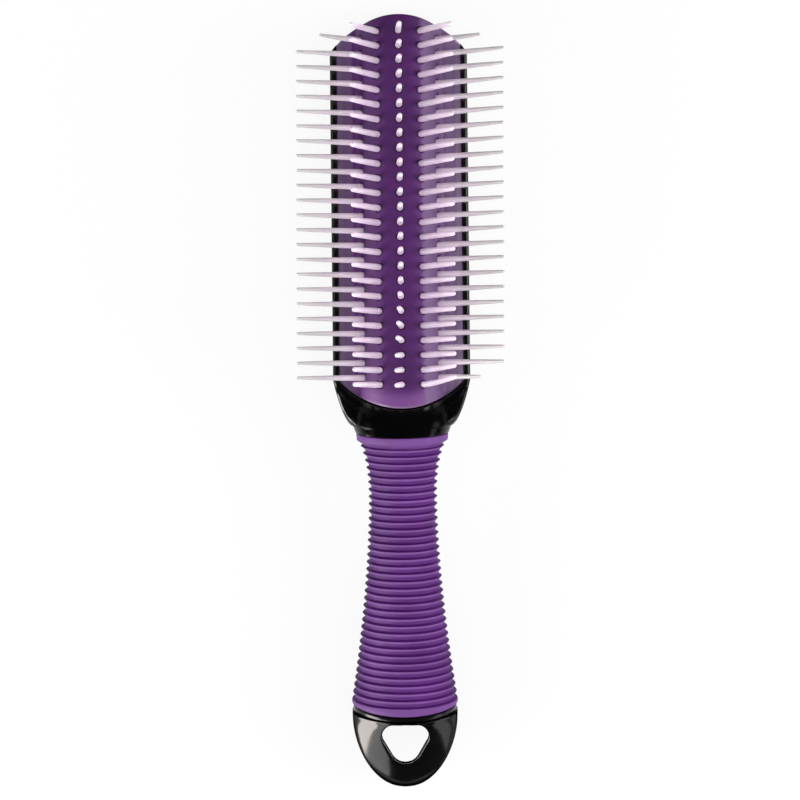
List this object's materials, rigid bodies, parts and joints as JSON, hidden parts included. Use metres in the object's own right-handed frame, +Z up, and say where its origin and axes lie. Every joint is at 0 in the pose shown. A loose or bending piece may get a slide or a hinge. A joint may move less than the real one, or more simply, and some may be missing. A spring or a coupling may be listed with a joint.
{
  "type": "hair grooming brush",
  "caption": "Styling brush with rows of straight pins through a removable rubber pad, a ribbed flared grip and an end cap with a hanging hole.",
  "frame": {"origin": "the middle of the floor under the brush as it lies on its back, pins up", "axes": "+Y along the brush towards the tip of the head, +Z up out of the pins, +X to the right seen from the pin side"},
  "size_m": [0.0586, 0.2186, 0.0488],
  "materials": {
    "frame_plastic": "polished black moulding",
    "pad_rubber": "smooth satin purple rubber",
    "pin_nylon": "satin pinkish white nylon",
    "grip_rubber": "soft matte purple rubber with fine ribs",
    "cap_plastic": "polished black moulding"
  },
  "bodies": {
    "handle": {"handle_frame": "frame_plastic", "grip_sleeve": "grip_rubber", "retaining_ring": "cap_plastic", "end_cap": "cap_plastic"},
    "pad_assembly": {"pad": "pad_rubber", "pin_row_centre": "pin_nylon", "pin_row_left_inner": "pin_nylon", "pin_row_right_inner": "pin_nylon", "pin_row_left_outer": "pin_nylon", "pin_row_right_outer": "pin_nylon"}
  },
  "joints": [
    {"name": "pad_slide", "type": "slide", "parent": "handle", "child": "pad_assembly", "axis": [0, 0.9956, -0.0934], "range_m": [0, 0.11]}
  ]
}
